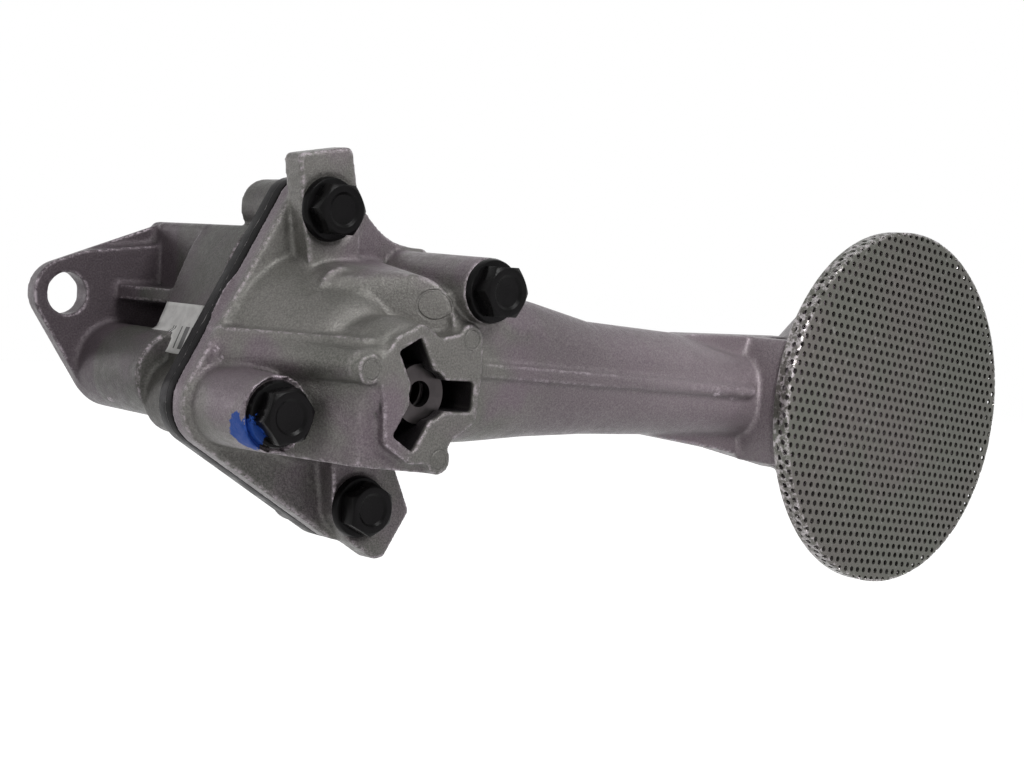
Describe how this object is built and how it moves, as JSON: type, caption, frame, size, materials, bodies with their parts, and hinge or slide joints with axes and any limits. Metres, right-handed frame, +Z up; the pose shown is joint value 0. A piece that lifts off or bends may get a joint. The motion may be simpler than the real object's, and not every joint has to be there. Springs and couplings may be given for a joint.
{
  "type": "engine oil pump",
  "caption": "Gear-type engine oil pump with a bolted cast cover, a cast suction arm and a round perforated strainer on its end.",
  "frame": {"origin": "drive shaft axis at the plane of the mounting face, midway between the two mounting holes", "axes": "+X along the suction arm towards the strainer, +Y out of the mounting face along the drive shaft, +Z up across the flange"},
  "size_m": [0.2385, 0.1023, 0.0957],
  "materials": {
    "cast_aluminium": "as cast, fine grain",
    "black_steel": "black phosphate, satin",
    "screen_steel": "satin sheet",
    "ground_steel": "ground",
    "gear_steel": "sintered, machined",
    "spring_steel": "oiled spring steel",
    "bronze": "bushing bronze",
    "seal_rubber": "matte"
  },
  "bodies": {
    "housing": {"pump_body": "cast_aluminium", "pump_cover": "cast_aluminium", "separator_plate": "black_steel", "strainer_screen": "screen_steel", "cover_screws_short": "black_steel", "cover_screw_left": "black_steel", "cover_screw_right": "black_steel", "screw_washers": "black_steel", "dowel_pins": "ground_steel", "idler_shaft": "ground_steel", "body_shaft_bush": "bronze", "relief_spring": "spring_steel", "relief_spring_seat": "spring_steel", "outlet_seal": "seal_rubber"},
    "drive": {"drive_shaft": "ground_steel", "drive_gear": "gear_steel", "gear_key": "ground_steel", "gear_snap_ring": "spring_steel"},
    "driven": {"driven_gear": "gear_steel", "driven_gear_bush": "bronze"},
    "piston": {"relief_piston": "ground_steel"}
  },
  "joints": [
    {"name": "drive_spin", "type": "hinge", "parent": "housing", "child": "drive", "pos_m": [0, 0, 0], "axis": [0, 1, 0], "continuous": true},
    {"name": "driven_spin", "type": "hinge", "parent": "housing", "child": "driven", "pos_m": [0.00196, 0, -0.02241], "axis": [0, 1, 0], "continuous": true},
    {"name": "relief_slide", "type": "slide", "parent": "housing", "child": "piston", "axis": [0, -1, 0], "range_m": [0, 0.008], "stiffness_N_per_m": 5300, "springref_m": -0.008, "deforming": ["relief_spring"]}
  ],
  "couplings": [
    {"joint": "driven_spin", "follows": "drive_spin", "ratio": -1}
  ]
}
